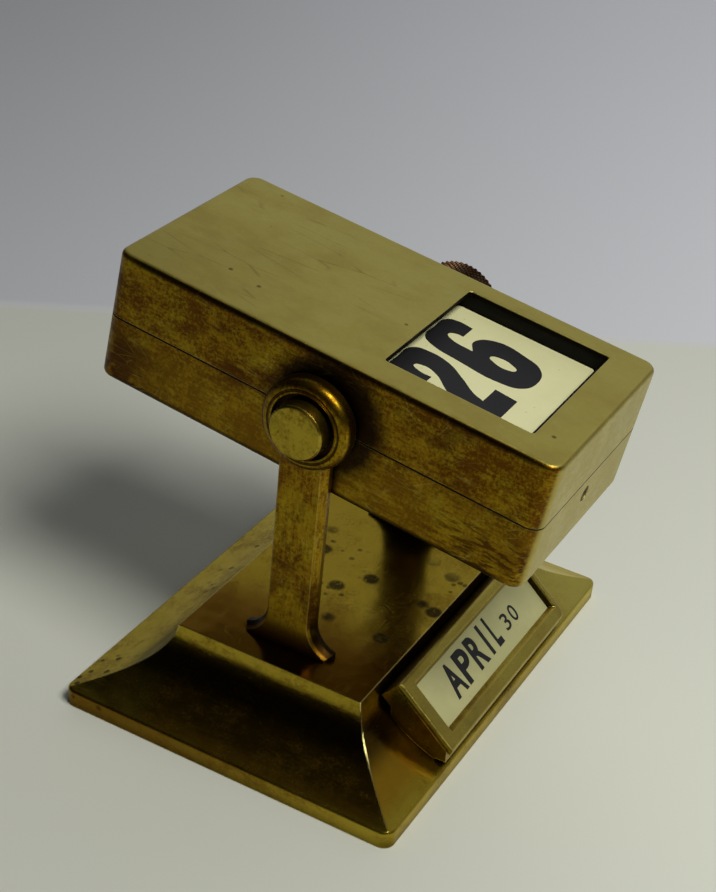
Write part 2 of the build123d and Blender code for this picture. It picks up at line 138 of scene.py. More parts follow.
class Surface:
    """One procedural material: layers of colour, roughness and relief over a base."""

    def __init__(self, name, colour, roughness, axes=LEVEL, metallic=1.0):
        self.material = bpy.data.materials.new(name)
        self.material.use_nodes = True
        self.tree = self.material.node_tree
        self.shader = self.tree.nodes["Principled BSDF"]
        self.shader.inputs["Metallic"].default_value = metallic
        self.place = self.own_axes(axes)
        self.colour = (*colour, 1.0)
        self.roughness = roughness
        self.normal = None

    def add(self, kind, **settings):
        node = self.tree.nodes.new("ShaderNode" + kind)
        for name, value in settings.items():
            setattr(node, name, value)
        return node

    def put(self, value, socket):
        """Links an output to a socket, or sets the socket's own value."""
        if isinstance(value, bpy.types.NodeSocket):
            self.tree.links.new(value, socket)
        else:
            socket.default_value = value

    def own_axes(self, axes):
        """Place on the piece, in millimetres along the piece's own axes."""
        node = self.add("Mapping")
        inverse = axes.inverted()
        node.inputs["Scale"].default_value = (1 / MM, 1 / MM, 1 / MM)
        node.inputs["Rotation"].default_value = inverse.to_euler()
        node.inputs["Location"].default_value = inverse.to_translation()
        self.put(self.add("TexCoord").outputs["Object"], node.inputs["Vector"])
        return node.outputs["Vector"]

    def axis(self, name):
        """Place along one of the piece's own axes."""
        node = self.add("SeparateXYZ")
        self.put(self.place, node.inputs[0])
        return node.outputs[name]

    def math(self, operation, first, second=0.0):
        node = self.add("Math", operation=operation)
        self.put(first, node.inputs[0])
        self.put(second, node.inputs[1])
        return node.outputs[0]

    def stretched(self, stretch):
        """The place with each axis multiplied."""
        node = self.add("Mapping")
        node.inputs["Scale"].default_value = stretch
        self.put(self.place, node.inputs["Vector"])
        return node.outputs["Vector"]

    def noise(self, stretch, detail=4.0, roughness=0.55, distortion=0.0):
        """Noise whose features are about 1 / stretch millimetres long on each axis."""
        node = self.add("TexNoise")
        self.put(self.stretched(stretch), node.inputs["Vector"])
        node.inputs["Scale"].default_value = 1.0
        node.inputs["Detail"].default_value = detail
        node.inputs["Roughness"].default_value = roughness
        node.inputs["Distortion"].default_value = distortion
        return node.outputs["Fac"]

    def cells(self, stretch, feature="F1"):
        """Distance from the middle of the nearest cell, or from its edge."""
        node = self.add("TexVoronoi", feature=feature)
        self.put(self.stretched(stretch), node.inputs["Vector"])
        node.inputs["Scale"].default_value = 1.0
        return node.outputs["Distance"]

    def step(self, value, low, high):
        """A smooth step from 0 at low to 1 at high, whichever of them is the larger."""
        node = self.add("MapRange", interpolation_type="SMOOTHSTEP")
        self.put(value, node.inputs["Value"])
        node.inputs["From Min"].default_value = low
        node.inputs["From Max"].default_value = high
        return node.outputs["Result"]

    def both(self, first, second):
        """Where both masks are, or a value times a number."""
        return self.math("MULTIPLY", first, second)

    def near(self, value, middle, half, soft):
        """A mask of where the value is within half of the middle, fading over the soft width."""
        away = self.math("ABSOLUTE", self.math("SUBTRACT", value, middle))
        return self.step(away, half + soft, half)

    def radius_about_x(self, middle_y=0.0, middle_z=0.0):
        """Distance from a line along X, which is the piece's own X axis if no middle is given."""
        y = self.math("SUBTRACT", self.axis("Y"), middle_y)
        z = self.math("SUBTRACT", self.axis("Z"), middle_z)
        return self.math("SQRT", self.math("ADD", self.both(y, y), self.both(z, z)))

    def opposite(self, mask):
        return self.math("SUBTRACT", 1.0, mask)

    def paint(self, mask, colour, strength=1.0):
        """Lays a colour over what is there, where the mask is."""
        node = self.add("Mix", data_type="RGBA")
        self.put(self.both(mask, strength), node.inputs[0])
        self.put(self.colour, node.inputs[MIX_A])
        self.put((*colour, 1.0), node.inputs[MIX_B])
        self.colour = node.outputs[MIX_RESULT]

    def dull(self, mask, amount):
        """Adds to the roughness where the mask is; a negative amount polishes."""
        self.roughness = self.math("ADD", self.roughness, self.both(mask, amount))

    def soften_edges(self, radius):
        """Rounds sharp edges in the shading and returns a mask of where they are."""
        bevel = self.add("Bevel", samples=4)
        bevel.inputs["Radius"].default_value = radius * MM
        self.normal = bevel.outputs["Normal"]
        dot = self.add("VectorMath", operation="DOT_PRODUCT")
        self.put(self.normal, dot.inputs[0])
        self.put(self.add("NewGeometry").outputs["Normal"], dot.inputs[1])
        return self.step(dot.outputs["Value"], 0.985, 0.90)

    def corners(self, reach, alone=True):
        """A mask of the hollows and inner corners, for painted shade; alone leaves out neighbours."""
        node = self.add("AmbientOcclusion", samples=6, only_local=alone)
        node.inputs["Distance"].default_value = reach * MM
        return self.step(node.outputs["AO"], 0.85, 0.35)

    def relief(self, height, depth):
        """Adds bumps as deep as that where the height is 1."""
        node = self.add("Bump")
        node.inputs["Distance"].default_value = depth * MM
        self.put(height, node.inputs["Height"])
        if self.normal is not None:
            self.put(self.normal, node.inputs["Normal"])
        self.normal = node.outputs["Normal"]

    def done(self):
        self.put(self.colour, self.shader.inputs["Base Color"])
        self.put(self.roughness, self.shader.inputs["Roughness"])
        if self.normal is not None:
            self.put(self.normal, self.shader.inputs["Normal"])
        return self.material


# In the functions below, s is the surface that is being made.

def even(stretch):
    """The same stretch along every axis."""
    return (stretch, stretch, stretch)


def worn_brass(s, grain, tarnish, stain, share, strength=1.0):
    """Old lacquered brass: soft blotches, rubbed streaks along the grain, specks and stains."""
    blotches = s.noise(even(0.09), detail=8, roughness=0.70, distortion=0.3)
    streaks = s.noise(grain, detail=5, roughness=0.65)
    grit = s.noise(even(1.5), detail=4, roughness=0.7)
    coarse = s.math("ADD", s.both(blotches, 0.45), s.both(streaks, 0.22))
    mottle = s.math("ADD", coarse, s.both(grit, 0.33))
    green = s.step(s.noise(even(0.13), detail=6, roughness=0.7), 0.46, 0.60)
    s.paint(green, GREEN_GOLD, 0.6 * strength)
    edge = 0.62 - 0.24 * share
    cover = s.step(mottle, edge - 0.07, edge + 0.07)
    s.paint(cover, tarnish, strength)
    cloudy = s.noise((0.055, 0.055, 0.09), detail=9, roughness=0.74, distortion=0.5)
    s.paint(s.step(cloudy, 0.50, 0.66), stain, 0.72 * strength)
    specks = s.step(s.noise(even(2.2), detail=4, roughness=0.75), 0.60, 0.70)
    s.paint(specks, stain, 0.55 * strength)
    s.dull(cover, 0.08)
    s.dull(s.both(specks, strength), 0.12)
    s.dull(streaks, 0.08)
    s.relief(s.noise(even(0.07), detail=2), 0.30)
    s.relief(streaks, 0.020)
    s.relief(s.both(specks, -1.0), 0.010 * strength)


def scratches(s, directions):
    """Fine hair scratches, long and thin along each stretch given, broken up by noise."""
    for number, stretch in enumerate(directions):
        lines = s.step(s.cells(stretch, feature="DISTANCE_TO_EDGE"), 0.035, 0.0)
        patches = s.step(s.noise(even(0.11 + 0.02 * number), detail=2), 0.52, 0.70)
        marks = s.both(lines, patches)
        s.paint(marks, GOLD, 0.16)
        s.dull(marks, -0.05)
        s.relief(marks, -0.010)


def window_walls(s):
    """A mask of the windows' cut edges, below the face, painted black as shade."""
    across = s.near(s.axis("X"), WINDOW_X, WINDOW_HALF_W + 0.05, 0.1)
    front = s.both(s.axis("Y"), s.math("SIGN", s.axis("Z")))
    along = s.near(front, WINDOW_Y, WINDOW_HALF_L + 0.05, 0.1)
    below = s.step(s.math("ABSOLUTE", s.axis("Z")), CASE_TOP - 0.12, CASE_TOP - 0.30)
    return s.both(s.both(across, along), below)


def case_tarnish(s):
    """Lighter below the seam, with red-brown patches low at the back and streaks low at the front."""
    s.paint(s.step(s.axis("Z"), 2.0, -6.0), OLD_GOLD, 0.30)
    back_low = s.both(s.step(s.axis("Y"), 30.0, 44.0), s.step(s.axis("Z"), 1.0, -6.0))
    rust_patches = s.step(s.noise(even(0.2), detail=5), 0.34, 0.50)
    s.paint(s.both(back_low, rust_patches), RED_BROWN, 0.9)
    front_low = s.both(s.step(s.axis("Y"), -18.0, -38.0), s.step(s.axis("Z"), -2.0, -7.0))
    rust_streaks = s.step(s.noise((1.1, 0.24, 1.1), detail=5, roughness=0.65), 0.48, 0.58)
    s.paint(s.both(front_low, rust_streaks), RED_BROWN, 0.8)


def case_side_marks(s, height, face):
    """Painted reflection and shade on the sides: a dark band under the long sides' edges, and a dark
    halo round the pins.
    """
    # Painted reflection: a dark band under the rounded edge, where it mirrors dark surroundings.
    band = s.both(s.step(height, CASE_TOP - 1.7, CASE_TOP - 1.0), s.opposite(face))
    long_sides = s.step(s.math("ABSOLUTE", s.axis("Y")), CASE_END - 1.0, CASE_END - 7.0)
    s.paint(s.both(band, long_sides), DARK, 0.75)
    wander = s.both(s.noise(even(0.3)), 4.0)
    # Painted shade: a dark halo round the pins, for the eye's shade and its reflection in the side.
    halo = s.step(s.math("ADD", s.radius_about_x(-2.0, 1.5), wander), 17.0, 12.5)
    sides = s.step(s.math("ABSOLUTE", s.axis("X")), CASE_SIDE - 0.38, CASE_SIDE - 0.08)
    s.paint(s.both(halo, sides), DARK, 0.95)


def case_clean_parts(s, face):
    """Olive gold on the faces above and below, with painted shade deepening it at the back left corner,
    and on the ends.
    """
    s.paint(face, OLIVE_GOLD, 0.93)
    # Painted shade: the faces darken toward the back left, away from the light.
    back_left = s.both(s.step(s.axis("Y"), 0.0, 46.0), s.step(s.axis("X"), 14.0, -24.0))
    s.paint(s.both(face, back_left), SHADED_GOLD, 0.5)
    ends = s.step(s.math("ABSOLUTE", s.axis("Y")), CASE_END - 0.9, CASE_END - 0.1)
    s.paint(ends, OLIVE_GOLD, 0.72)


def case_face_wear(s, face):
    """Haze, dings and, on the back half, long brown hairs on the faces above and below."""
    haze = s.step(s.noise((0.10, 0.07, 0.1), detail=6, roughness=0.65), 0.40, 0.66)
    s.paint(s.both(face, haze), OLD_GOLD, 0.25)
    dings = s.step(s.cells(even(0.11)), 0.07, 0.03)
    s.paint(s.both(face, dings), BROWN, 0.8)
    hairs = s.step(s.cells((0.24, 0.045, 0.0), feature="DISTANCE_TO_EDGE"), 0.036, 0.006)
    back_half = s.step(s.axis("Y"), -8.0, 4.0)
    patches = s.both(s.step(s.noise(even(0.06), detail=2), 0.50, 0.62), back_half)
    s.paint(s.both(s.both(hairs, patches), face), BROWN, 0.30)
    s.dull(face, 0.03)


def case_brass():
    """The trays: satin olive-gold faces above and below, tarnished brown sides."""
    s = Surface("case_brass", OLD_GOLD, 0.30, IN_CASE)
    edges = s.soften_edges(0.35)
    height = s.math("ABSOLUTE", s.axis("Z"))
    face = s.step(height, CASE_TOP - 0.30, CASE_TOP - 0.04)
    worn_brass(s, (0.5, 0.20, 1.1), BROWN, RED_BROWN, 0.55)
    case_tarnish(s)
    case_side_marks(s, height, face)
    case_clean_parts(s, face)
    case_face_wear(s, face)
    scratches(s, [(0.9, 0.07, 0.5), (0.25, 0.16, 0.5)])
    # Painted shade in the case's hollows and inner corners.
    s.paint(s.corners(2.0), DARK, 0.7)
    # Edges painted brighter: rubbed wear, with a painted highlight on top.
    s.paint(edges, BRIGHT_GOLD, 0.6)
    seam = s.step(height, 0.28, 0.12)
    s.paint(seam, DARK, 0.85)
    # Painted shade: the windows' cut edges are painted black.
    walls = window_walls(s)
    s.paint(walls, BLACK)
    s.dull(walls, 0.3)
    return s.done()


def plateau_tarnish(s, plateau, left_to_right):
    """The plateau is old gold, with painted shade and a painted reflection of the post at its left end.
    """
    s.paint(plateau, OLD_GOLD, 0.35)
    # Painted shade: the plateau's left end, by the post, is painted brown.
    shaded_end = s.step(left_to_right, -2.0, -20.0)
    s.paint(s.both(plateau, shaded_end), BROWN, 0.85)


def cove_tarnish(s, coves, left_to_right, height):
    """The coves are paler at the right as a painted reflection of bright surroundings, brown at the
    front and left, and dark in the left hollow as a painted dark reflection.
    """
    # Painted reflection: the right end of the coves is painted paler.
    lit_end = s.step(left_to_right, 22.0, 48.0)
    s.paint(s.both(lit_end, coves), OLIVE_GOLD, 0.75)
    not_back = s.step(s.axis("Y"), PLATEAU_BACK - 0.3, PLATEAU_BACK - 2.3)
    brown_side = s.both(s.step(s.axis("X"), 25.0, -20.0), not_back)
    off_front = s.step(s.axis("Y"), 1.0 - BASE_HALF_D, 6.0 - BASE_HALF_D)
    off_lip = s.both(s.step(s.axis("Z"), LIP_Z - 0.3, LIP_Z + 0.6), off_front)
    below = s.step(height, PLATEAU_Z - 0.8, PLATEAU_Z - 4.4)
    s.paint(s.both(s.both(brown_side, off_lip), below), COVE_BROWN, 0.9)
    # Painted reflection: the left hollow is painted dark.
    hollow = s.both(s.near(s.axis("Z"), HOLLOW_Z, 1.0, 3.0), coves)
    s.paint(s.both(hollow, s.step(s.axis("X"), -20.0, -36.0)), DARK, 0.75)


def corrosion_spots(s, plateau):
    """Large spots on the middle of the plateau, small ones there and on the back cove."""
    ragged = s.step(s.noise(even(1.1), detail=5, roughness=0.7), 0.28, 0.46)
    middle = s.both(s.near(s.axis("X"), -2.0, 12.0, 10.0), plateau)
    large_spots = s.both(s.step(s.cells(even(0.13)), 0.30, 0.16), middle)
    few = s.step(s.noise(even(0.05), detail=2), 0.48, 0.60)
    back_cove = s.step(s.axis("Y"), PLATEAU_BACK - 1.3, PLATEAU_BACK + 0.7)
    places = s.both(few, s.math("MAXIMUM", middle, back_cove))
    small_spots = s.both(s.step(s.cells(even(0.34)), 0.30, 0.14), places)
    marks = s.both(s.math("MAXIMUM", large_spots, small_spots), ragged)
    s.paint(marks, SPOT, 0.9)
    s.dull(marks, 0.15)


def base_brass():
    """The stand: polished plateau with corrosion spots, smooth coves, a lip rubbed bright."""
    s = Surface("base_brass", CLEAN_BRASS, 0.15)
    s.shader.inputs["Specular Tint"].default_value = (*EDGE_TINT, 1.0)
    edges = s.soften_edges(0.45)
    worn_brass(s, (0.25, 0.25, 1.2), BROWN, RED_BROWN, 0.34, 0.55)
    wander = s.both(s.noise(even(0.1)), 8.0)
    left_to_right = s.math("ADD", s.axis("X"), wander)
    height = s.math("ADD", s.axis("Z"), s.both(wander, 0.2))
    plateau = s.step(s.axis("Z"), PLATEAU_Z - 0.12, PLATEAU_Z - 0.02)
    plateau_tarnish(s, plateau, left_to_right)
    cove_tarnish(s, s.opposite(plateau), left_to_right, height)
    corrosion_spots(s, plateau)
    lip = s.step(s.axis("Z"), LIP_Z + 0.5, LIP_Z - 0.2)
    left_lip = s.both(lip, s.step(s.axis("X"), 2.0 - BASE_HALF_W, 0.5 - BASE_HALF_W))
    s.paint(s.both(left_lip, s.step(s.axis("Y"), -BASE_HALF_D, 20.0)), BROWN, 0.75)
    s.dull(lip, 0.12)
    scratches(s, [(0.5, 0.06, 0.5), (0.06, 0.5, 0.5)])
    # Painted shade in the stand's hollows and where other parts stand close to it.
    s.paint(s.corners(4.0, alone=False), DARK, 0.85)
    # Edges painted brighter: rubbed wear, with a painted highlight on top.
    s.paint(edges, BRIGHT_GOLD, 0.85)
    return s.done()


def post_brass():
    """The posts: rubbed along their length, a groove turned in the eye with painted shade in it, darker
    at the foot and toes, and painted shade in the eye's recess.
    """
    s = Surface("post_brass", OLD_GOLD, 0.24, Matrix.Translation(PIVOT))
    edges = s.soften_edges(0.4)
    worn_brass(s, (1.1, 1.1, 0.14), BROWN, RED_BROWN, 0.45)
    scratches(s, [(0.5, 0.9, 0.06)])
    foot = s.step(s.axis("Z"), POST_FOOT_Z + 7.0, POST_FOOT_Z + 1.0)
    s.paint(foot, BROWN, 0.8)
    s.dull(foot, 0.12)
    radius = s.radius_about_x()
    groove = s.near(radius, EYE_GROOVE_R, 0.12, 0.2)
    # Painted shade in the groove turned in the eye.
    s.paint(groove, DARK, 0.8)
    s.relief(s.both(groove, -1.0), 0.2)
    # Painted shade in the posts' inner corners and where they meet other parts.
    s.paint(s.corners(2.2, alone=False), DARK, 0.9)
    s.paint(edges, GOLD, 0.5)
    out = s.math("ABSOLUTE", s.axis("X"))
    low = s.step(s.axis("Z"), POST_FOOT_Z + 9.0, POST_FOOT_Z + 6.0)
    toes = s.both(low, s.step(out, POST_FACE - 0.4, POST_FACE - 0.8))
    sunk = s.step(out, EYE_FACE - 0.2, EYE_FACE - 0.5)
    recess = s.both(s.step(radius, RECESS_R + 0.2, RECESS_R + 0.05), sunk)
    # Painted shade in the eye's recess; the toes are painted dark as well.
    s.paint(s.math("MAXIMUM", toes, recess), DARK, 0.9)
    return s.done()


def frame_brass():
    """The month frame: satin olive brass, rubbed along its length, with painted shade on the inner wall
    at one end of the opening.
    """
    s = Surface("frame_brass", CLEAN_BRASS, 0.24, ON_SLOPE)
    edges = s.soften_edges(0.25)
    worn_brass(s, (0.12, 1.4, 1.4), OLD_GOLD, BROWN, 0.45)
    s.paint(s.step(s.axis("Z"), -0.6, -0.1), OLIVE_GOLD, 0.45)
    # Painted shade in the frame's inner corners and where it meets the stand.
    s.paint(s.corners(2.0, alone=False), DARK, 0.85)
    s.paint(edges, GOLD, 0.5)
    in_opening = s.near(s.axis("Y"), OPENING_MIDDLE, OPENING_HALF_H + 0.15, 0.5)
    # Painted shade on the opening's inner wall at its right end.
    inner_end_shade = s.both(s.near(s.axis("X"), OPENING_RIGHT + 0.2, 0.3, 0.1), in_opening)
    s.paint(inner_end_shade, DARK, 0.9)
    return s.done()


def pin_brass():
    """Pins, button and washers: turned brass, its tool marks running round the axis."""
    s = Surface("pin_brass", CLEAN_BRASS, 0.24, IN_CASE)
    edges = s.soften_edges(0.25)
    worn_brass(s, even(0.5), BROWN, RED_BROWN, 0.30, 0.7)
    turning = s.math("SINE", s.both(s.radius_about_x(), TOOL_MARKS))
    s.relief(turning, 0.004)
    s.paint(edges, GOLD, 0.5)
    return s.done()


def knob_bronze():
    """The knob: dull pinkish-brown with red-brown patches, and painted shade between the knurls."""
    s = Surface("knob_bronze", BRONZE, 0.38, IN_CASE)
    patches = s.step(s.noise(even(0.3), detail=5, roughness=0.65), 0.42, 0.62)
    s.paint(patches, RED_BROWN, 0.6)
    # Painted shade between the knurls.
    s.paint(s.corners(0.7), DARK, 0.9)
    specks = s.noise(even(3.0), detail=3)
    s.dull(specks, 0.15)
    s.relief(specks, 0.02)
    return s.done()


def steel(name, tint, roughness):
    """Plain steel of screws and springs, with a little brown tarnish."""
    s = Surface(name, tint, roughness)
    edges = s.soften_edges(0.12)
    blotches = s.step(s.noise(even(0.5), detail=5, roughness=0.65), 0.45, 0.65)
    s.paint(blotches, BROWN, 0.55)
    brushing = s.noise((0.3, 3.0, 3.0), detail=3)
    s.dull(brushing, 0.12)
    s.relief(brushing, 0.010)
    # Painted shade in the corners of the screws and springs.
    s.paint(s.corners(0.5), DARK, 0.7)
    s.paint(edges, STEEL, 0.4)
    return s.done()


def black_lacquer():
    """The black guides and stops inside the case: thin lacquer, rubbed where cards slide."""
    s = Surface("black_lacquer", LACQUER, 0.6, IN_CASE, metallic=0.0)
    s.shader.inputs["Specular IOR Level"].default_value = 0.15
    rubbed = s.step(s.noise((0.8, 0.10, 0.8), detail=4, roughness=0.6), 0.56, 0.74)
    s.paint(rubbed, BROWN, 0.08)
    orange_peel = s.noise(even(1.6), detail=2)
    s.dull(orange_peel, 0.15)
    s.relief(orange_peel, 0.02)
    return s.done()


def card_stock(name, colour, axes):
    """Aged cream card: fibres, a faint yellowing in patches and handled edges."""
    s = Surface(name, colour, 0.42, axes, metallic=0.0)
    edges = s.soften_edges(0.2)
    yellowing = s.step(s.noise(even(0.07), detail=5, roughness=0.6), 0.40, 0.68)
    s.paint(yellowing, CREAM_SHADE, 0.30)
    fibres = s.noise((2.2, 5.5, 3.0), detail=4, roughness=0.7)
    s.paint(s.step(fibres, 0.58, 0.72), CREAM_SHADE, 0.30)
    foxing = s.step(s.cells(even(0.35)), 0.11, 0.05)
    s.paint(foxing, OLD_GOLD, 0.25)
    s.dull(fibres, 0.12)
    s.relief(fibres, 0.010)
    s.paint(edges, CREAM_SHADE, 0.5)
    return s.done()


def printing_ink():
    """Printed black, slightly uneven where the card's fibres show through."""
    s = Surface("printing_ink", INK, 0.55, metallic=0.0)
    s.shader.inputs["Specular IOR Level"].default_value = 0.3
    thin = s.step(s.noise(even(3.0), detail=5, roughness=0.7), 0.56, 0.78)
    s.paint(thin, THIN_INK, 0.6)
    s.dull(thin, 0.2)
    s.relief(s.noise((2.2, 5.5, 3.0), detail=3), 0.006)
    return s.done()


def felt():
    """The green-black felt under the base."""
    s = Surface("felt", FELT, 0.95, metallic=0.0)
    s.shader.inputs["Sheen Weight"].default_value = 0.3
    fibres = s.noise(even(1.8), detail=7, roughness=0.75, distortion=1.2)
    s.paint(s.step(fibres, 0.42, 0.66), FELT_FIBRE)
    s.relief(fibres, 0.25)
    return s.done()


def dress(nodes, material):
    """Gives CAD nodes their material."""
    for name in nodes:
        slots = frame["nodes"][name].data.materials
        slots.clear()
        slots.append(material)


def numbered(stem, count, digits):
    """Node names with their numbers from 1, written with that many digits."""
    return [stem + "_" + str(number).zfill(digits) for number in range(1, count + 1)]


def dress_all():
    """Gives every CAD node its material; returns the two that the pieces made here share."""
    ink = printing_ink()
    bronze = knob_bronze()
    pins = pin_brass()
    posts = post_brass()
    screw_steel = steel("screw_steel", STEEL, 0.30)
    spring_steel = steel("spring_steel", SPRING_STEEL, 0.26)
    dress(["case_upper", "case_lower"], case_brass())
    dress(["base_shell"], base_brass())
    dress(["left_post", "right_post"], posts)
    dress(["month_holder", "month_bezel"], frame_brass())
    dress(["left_pivot", "right_pivot", "left_washer", "right_washer"], pins)
    dress(["knob"], bronze)
    screws = ["base_plate_screws", "left_post_screws", "right_post_screws", "month_holder_screws"]
    dress(screws, screw_steel)
    dress(["front_end_screw", "back_end_screw"], steel("rusty_steel", RUST, 0.5))
    dress(["base_plate", "month_card_spring", "spring_washer"], spring_steel)
    dress(["left_guide", "right_guide", "core_block", "front_stop", "back_stop"], black_lacquer())
    dress(["felt_pad"], felt())
    dress(numbered("day_card", DAY_CARDS, 2), card_stock("day_card_stock", CREAM, IN_CASE))
    dress(numbered("month_card", MONTH_CARDS, 1), card_stock("month_card_stock", MONTH_CREAM_SHADED, ON_SLOPE))
    return ink, bronze


# Knob ------------------------------------------------------------------------------------------

KNOB_R = 9.44
KNOB_BACK = 30.6
KNOB_FACE = 37.6
KNOB_EDGE = 0.5
HUB_R = 6.2
HUB_BACK = 28.25
HUB_EDGE = 0.3
BORE_R = 2.52
BORE_END = 36.2
DISH_R = 5.4
DISH_DEPTH = 0.35
KNURLS = 50
KNURL_DEPTH = 0.42
KNURL_STEEPNESS = 1.5
STEPS_PER_KNURL = 8
KNURL_PITCH = 2 * math.pi * KNOB_R / KNURLS


def sawtooth(turns):
    """Goes from 0 to 1 and back once in each turn."""
    share = turns % 1.0
    return 1.0 - abs(2.0 * share - 1.0)


def knurl_depth(around, along):
    """How far the drum is cut in: two sets of grooves cross and leave pointed diamonds."""
    grooves = min(sawtooth(around + along), sawtooth(around - along))
    return KNURL_DEPTH * (1.0 - min(1.0, KNURL_STEEPNESS * grooves))


def knob_profile():
    """The knob's half section as place along the axis, radius, and whether it is knurled."""
    points = [(BORE_END, 0.0, False), (BORE_END, BORE_R, False), (HUB_BACK, BORE_R, False),
              (HUB_BACK, HUB_R - HUB_EDGE, False), (HUB_BACK + HUB_EDGE, HUB_R, False),
              (KNOB_BACK, HUB_R, False), (KNOB_BACK, KNOB_R - KNOB_EDGE, False)]
    start = KNOB_BACK + KNOB_EDGE
    length = KNOB_FACE - KNOB_BACK - 2 * KNOB_EDGE
    rows = round(length / KNURL_PITCH * STEPS_PER_KNURL)
    points += [(start + length * row / rows, KNOB_R, True) for row in range(rows + 1)]
    points += [(KNOB_FACE, KNOB_R - KNOB_EDGE, False), (KNOB_FACE, DISH_R + DISH_DEPTH, False),
               (KNOB_FACE - DISH_DEPTH, DISH_R, False), (KNOB_FACE - DISH_DEPTH, 0.0, False)]
    return points


def new_object(name, vertices, faces, material, body):
    """A mesh given in millimetres in the row frame, riding on a CAD body."""
    mesh = bpy.data.meshes.new(name)
    mesh.from_pydata([Vector(v) * MM for v in vertices], [], faces)
    mesh.materials.append(material)
    piece = bpy.data.objects.new(name, mesh)
    bpy.context.scene.collection.objects.link(piece)
    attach(piece, body)
    return piece


def knob_rings():
    """The knob's vertices, and for each point of its profile the ring of their indices."""
    around = KNURLS * STEPS_PER_KNURL
    vertices = []
    rings = []
    for along, radius, knurled in knob_profile():
        if radius == 0.0:
            rings.append([len(vertices)] * around)
            vertices.append(IN_CASE @ Vector((along, 0, 0)))
            continue
        rings.append(list(range(len(vertices), len(vertices) + around)))
        for step in range(around):
            turn = step / around
            cut = knurl_depth(turn * KNURLS, (along - KNOB_BACK) / KNURL_PITCH) if knurled else 0.0
            angle = 2 * math.pi * turn
            r = radius - cut
            vertices.append(IN_CASE @ Vector((along, r * math.cos(angle), r * math.sin(angle))))
    return vertices, rings


def knurled_knob(material):
    """The knob turned from its profile; a face at the axis keeps one corner there, not two."""
    vertices, rings = knob_rings()
    faces = []
    for near, far in zip(rings, rings[1:]):
        for step in range(len(near)):
            after = (step + 1) % len(near)
            corners = dict.fromkeys([near[step], far[step], far[after], near[after]])
            faces.append(list(corners))
    knob = new_object("knurled_knob", vertices, faces, material, "case")
    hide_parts("knob")


# Printed numbers and months --------------------------------------------------------------------
# A digit's outline is a list of points: x, y and whether the line turns a sharp corner there.
# Each is drawn where it stands on the card: the 2 in the left-hand place, the others in the right-hand
# one.

DIGITS = {
    "2": [[(-14.6, -15.0, True), (-9.4, -15.0, True), (-9.3, -12.2, False), (-8.1, -10.5, False),
           (-7.0, -12.2, False), (-7.6, -14.8, False), (-11.6, -19.7, False), (-14.5, -24.6, False),
           (-15.0, -31.0, True), (-3.9, -31.0, True), (-3.4, -26.0, True), (-8.9, -26.0, True),
           (-8.0, -23.6, False), (-5.2, -19.8, False), (-2.2, -15.0, False), (-1.6, -10.4, False),
           (-2.6, -7.5, False), (-8.0, -6.75, False), (-13.4, -7.6, False), (-14.6, -11.0, False)]],
    "6": [[(13.2, -9.4, False), (13.0, -12.8, True), (8.7, -12.8, True), (8.5, -11.2, False),
           (7.3, -10.1, False), (6.0, -11.4, False), (5.3, -16.6, True), (8.9, -15.2, False),
           (12.4, -18.4, False), (12.0, -25.4, False), (10.2, -29.4, False), (5.2, -31.1, False),
           (0.8, -29.6, False), (-0.7, -25.6, False), (-0.1, -16.0, False), (1.0, -9.6, False),
           (2.7, -7.2, False), (7.6, -6.75, False), (12.2, -7.3, False)],
          [(6.3, -20.1, False), (7.4, -21.6, False), (6.9, -25.0, False), (5.8, -26.1, False),
           (4.7, -24.8, False), (5.1, -21.4, False)]],
    "7": [[(0.6, -6.8, True), (13.0, -6.8, True), (12.8, -10.4, True), (9.0, -18.0, False),
           (7.6, -25.0, False), (7.3, -31.0, True), (2.2, -31.0, True), (2.8, -24.0, False),
           (4.6, -17.0, False), (8.3, -11.4, True), (0.6, -11.4, True)]],
    "8": [[(6.6, -6.75, False), (11.8, -7.7, False), (12.8, -11.6, False), (12.0, -14.8, False),
           (10.6, -17.0, False), (12.4, -19.6, False), (13.0, -24.6, False), (11.8, -29.2, False),
           (6.4, -31.1, False), (1.0, -29.2, False), (-0.2, -24.6, False), (0.4, -19.6, False),
           (2.2, -17.0, False), (0.9, -14.8, False), (0.4, -11.6, False), (1.4, -7.7, False)],
          [(6.6, -9.9, False), (7.9, -12.2, False), (6.6, -14.6, False), (5.3, -12.2, False)],
          [(6.4, -19.8, False), (7.9, -23.4, False), (6.4, -27.2, False), (4.9, -23.4, False)]],
}
CURVE_STEPS = 10
INK_HALF = 0.008
FONT_SIZE = 10.0


def outline_curve(outlines):
    """A flat filled curve through the outlines' points, with holes where they nest."""
    curve = bpy.data.curves.new("outline", "CURVE")
    curve.dimensions = "2D"
    curve.fill_mode = "BOTH"
    curve.resolution_u = CURVE_STEPS
    curve.extrude = INK_HALF
    for outline in outlines:
        spline = curve.splines.new("BEZIER")
        spline.bezier_points.add(len(outline) - 1)
        spline.use_cyclic_u = True
        for point, (x, y, corner) in zip(spline.bezier_points, outline):
            point.co = (x, y, 0)
            handle = "VECTOR" if corner else "AUTO"
            point.handle_left_type = handle
            point.handle_right_type = handle
    return curve


def flat_letter(letter, bold):
    """The built-in font's letter as a flat curve, made bolder by that much."""
    text = bpy.data.curves.new("letter", "FONT")
    text.body = letter
    text.size = FONT_SIZE
    text.offset = bold
    text.extrude = INK_HALF
    return text


def curve_mesh(curve, change=LEVEL):
    """Vertices and faces of a filled curve, moved by a matrix."""
    shape = bpy.data.objects.new("shape", curve)
    bpy.context.scene.collection.objects.link(shape)
    bpy.context.view_layer.update()
    mesh = bpy.data.meshes.new_from_object(shape.evaluated_get(bpy.context.evaluated_depsgraph_get()))
    bpy.data.objects.remove(shape)
    vertices = [change @ v.co for v in mesh.vertices]
    faces = [list(p.vertices) for p in mesh.polygons]
    bpy.data.meshes.remove(mesh)
    return vertices, faces


